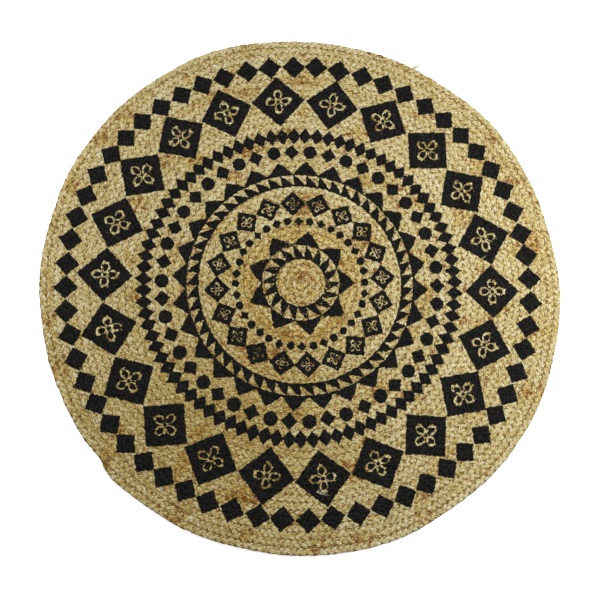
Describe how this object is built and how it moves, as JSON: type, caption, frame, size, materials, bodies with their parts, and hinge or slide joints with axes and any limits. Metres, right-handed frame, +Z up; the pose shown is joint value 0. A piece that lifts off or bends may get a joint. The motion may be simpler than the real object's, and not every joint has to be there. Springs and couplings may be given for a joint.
{
  "type": "round braided jute rug",
  "caption": "Flat round floor rug of one jute braid coiled in a spiral and sewn, printed on top with rings of black squares, dots, triangles and flowers.",
  "frame": {"origin": "middle of the outline's box, on the underside", "axes": "+Z up out of the printed top; +Y towards the picture's upper edge, +X towards its right"},
  "size_m": [0.8938, 0.903, 0.008],
  "materials": {
    "jute_braid": "matt natural jute with black print on the top"
  },
  "bodies": {
    "root": {"rug": "jute_braid"}
  },
  "joints": []
}
